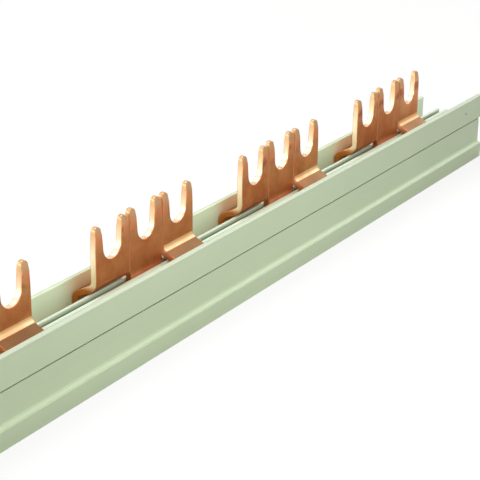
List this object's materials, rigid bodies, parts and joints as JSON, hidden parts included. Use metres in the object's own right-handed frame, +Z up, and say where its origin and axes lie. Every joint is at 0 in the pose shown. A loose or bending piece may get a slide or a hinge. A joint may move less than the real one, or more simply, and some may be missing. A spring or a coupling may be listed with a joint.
{
  "type": "comb busbar",
  "caption": "Straight extruded insulating profile, open at the top, holding copper combs whose fork tabs stand in spaced groups in one row.",
  "frame": {"origin": "middle of the profile's underside, at the centre of the bounding box's base", "axes": "+X along the busbar, +Y from the tall front wall to the low back wall, +Z up towards the fork tips"},
  "size_m": [0.2284, 0.0194, 0.0268],
  "materials": {
    "profile": "satin extruded PVC, pale grey-green",
    "copper": null
  },
  "bodies": {
    "root": {"insulating_profile": "profile", "rear_comb": "copper", "middle_comb": "copper", "front_comb": "copper"}
  },
  "joints": []
}
